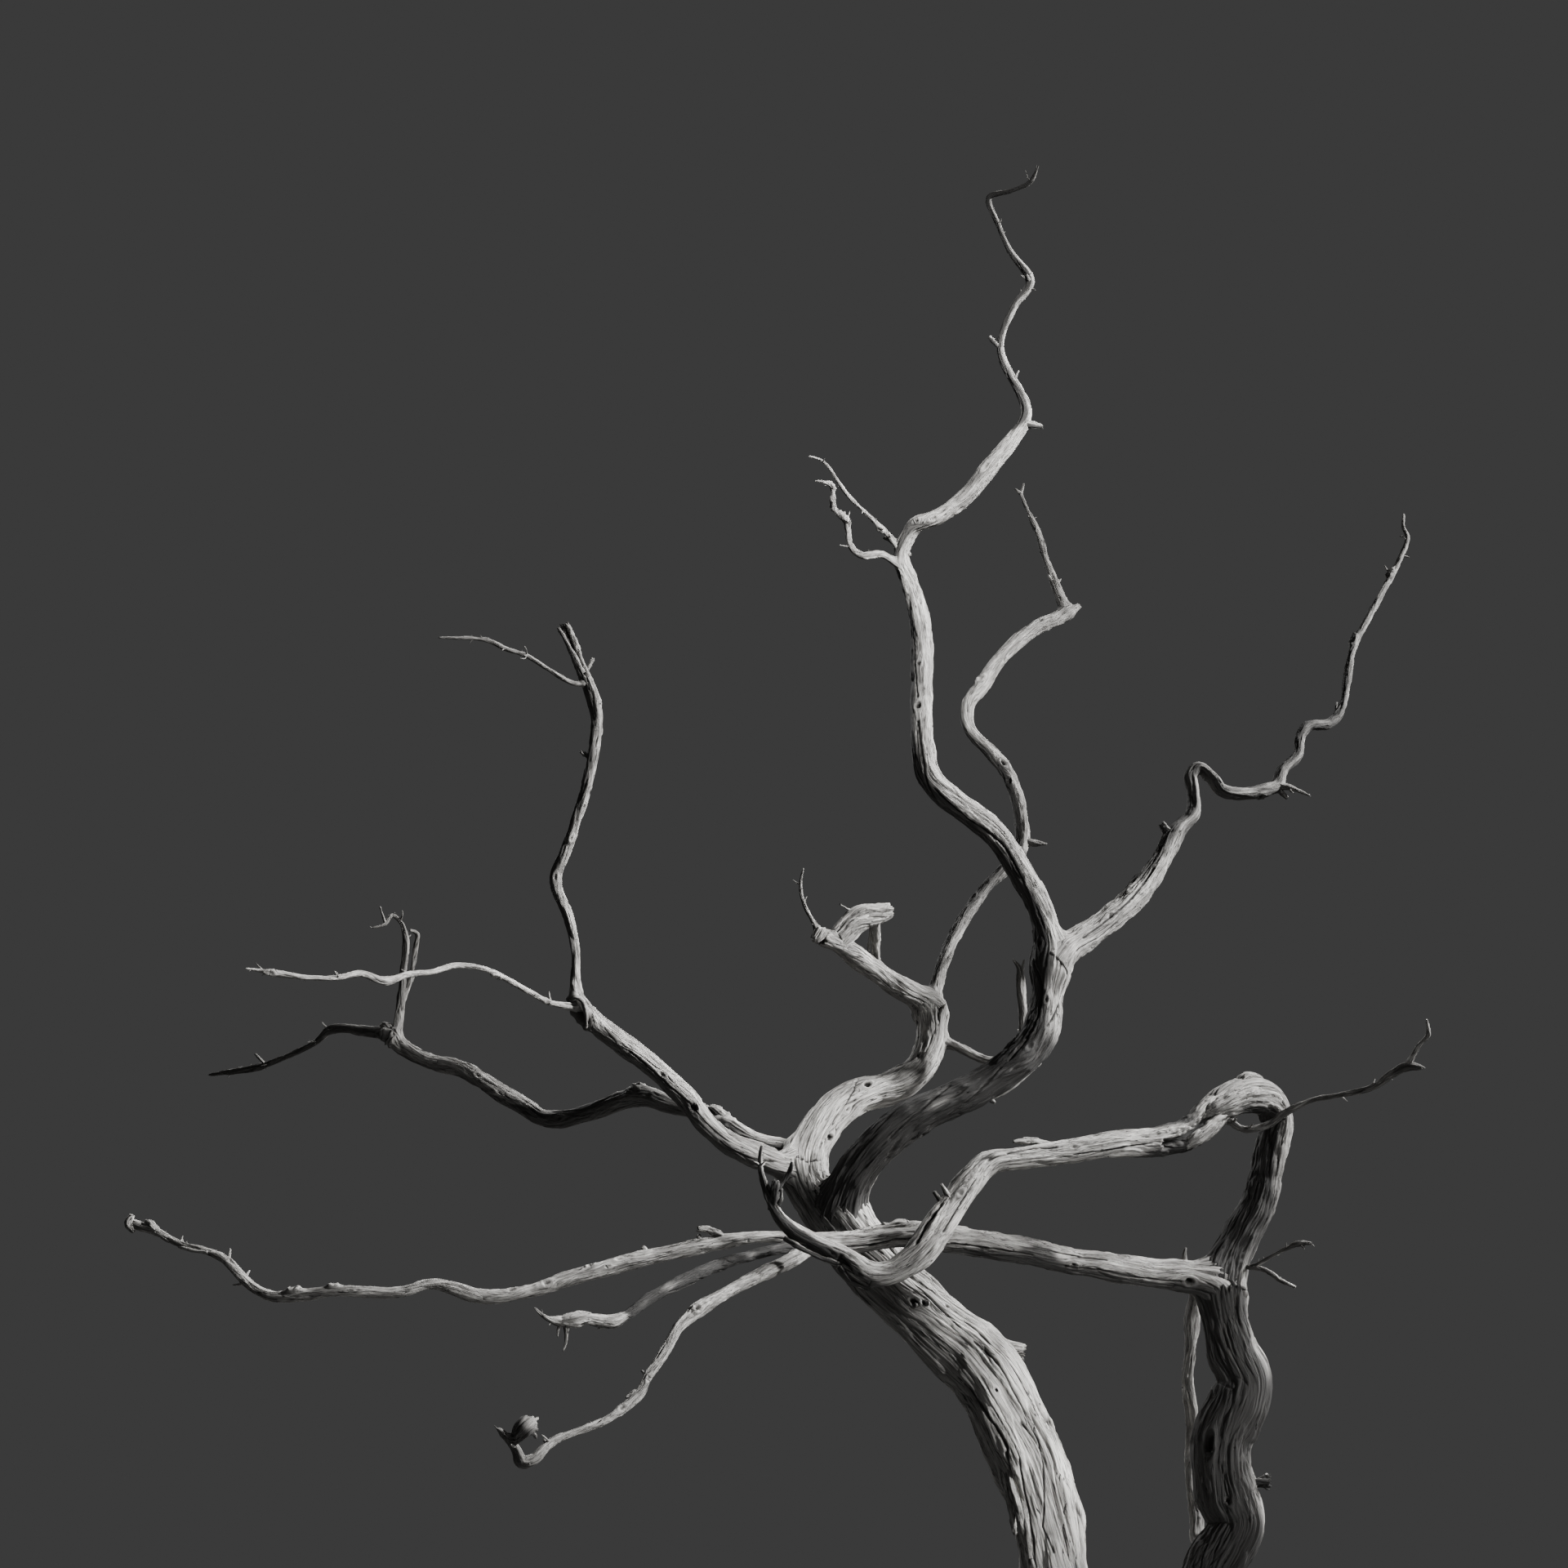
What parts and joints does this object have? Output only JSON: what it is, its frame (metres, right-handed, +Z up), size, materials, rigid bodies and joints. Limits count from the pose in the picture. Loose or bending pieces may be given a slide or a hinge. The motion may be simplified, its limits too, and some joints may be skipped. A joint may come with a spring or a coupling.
{
  "type": "dead tree",
  "caption": "Bare, weathered dead tree with two stems from one foot, twisted leafless boughs and dry twig ends, rooted in level ground.",
  "frame": {"origin": "centre of the flat cut at ground level under the trunk", "axes": "+Z straight up from the level ground; -Y is the front, the side that the picture shows; +X is to the right as seen from the front"},
  "size_m": [6.6962, 4.174, 8.4865],
  "materials": {
    "bare_wood": "sun-bleached, silver-grey, cracked along the grain, no bark",
    "twig_wood": "dry, pale, barkless twigs"
  },
  "bodies": {
    "root": {"arch_1": "bare_wood", "arch_2": "bare_wood", "arch_3": "bare_wood", "arch_4": "bare_wood", "arch_5": "bare_wood", "beam": "bare_wood", "bough_droop_1": "bare_wood", "bough_droop_2": "bare_wood", "bough_far_1": "bare_wood", "bough_far_2": "bare_wood", "bough_far_3": "bare_wood", "bough_front_1": "bare_wood", "bough_front_2": "bare_wood", "bough_hooked": "bare_wood", "bough_inner_1": "bare_wood", "bough_inner_2": "bare_wood", "bough_inner_3": "bare_wood", "bough_left_1": "bare_wood", "bough_left_2": "bare_wood", "bough_left_3": "bare_wood", "bough_low_1": "bare_wood", "bough_pale_1": "bare_wood", "bough_pale_2": "bare_wood", "bough_right_1": "bare_wood", "bough_right_2": "bare_wood", "bough_right_3": "bare_wood", "bough_right_4": "bare_wood", "bough_right_5": "bare_wood", "bough_tall_1": "bare_wood", "bough_tall_2": "bare_wood", "bough_tall_3": "bare_wood", "bough_tall_4": "bare_wood", "bough_tall_5": "bare_wood", "limb_behind": "bare_wood", "stem_lower": "bare_wood", "stem_upper": "bare_wood", "trunk_lower": "bare_wood", "trunk_neck": "bare_wood", "trunk_upper": "bare_wood", "twigs_arch_right": "twig_wood", "twigs_arch_tip": "twig_wood", "twigs_crotch": "twig_wood", "twigs_droop_end": "twig_wood", "twigs_far_end": "twig_wood", "twigs_far_up": "twig_wood", "twigs_front_end": "twig_wood", "twigs_hooked": "twig_wood", "twigs_inner": "twig_wood", "twigs_left_high": "twig_wood", "twigs_left_long": "twig_wood", "twigs_low_end": "twig_wood", "twigs_right_low": "twig_wood", "twigs_right_tip": "twig_wood", "twigs_stem": "twig_wood", "twigs_tall_high": "twig_wood", "twigs_tall_low": "twig_wood", "twigs_top": "twig_wood"}
  },
  "joints": []
}
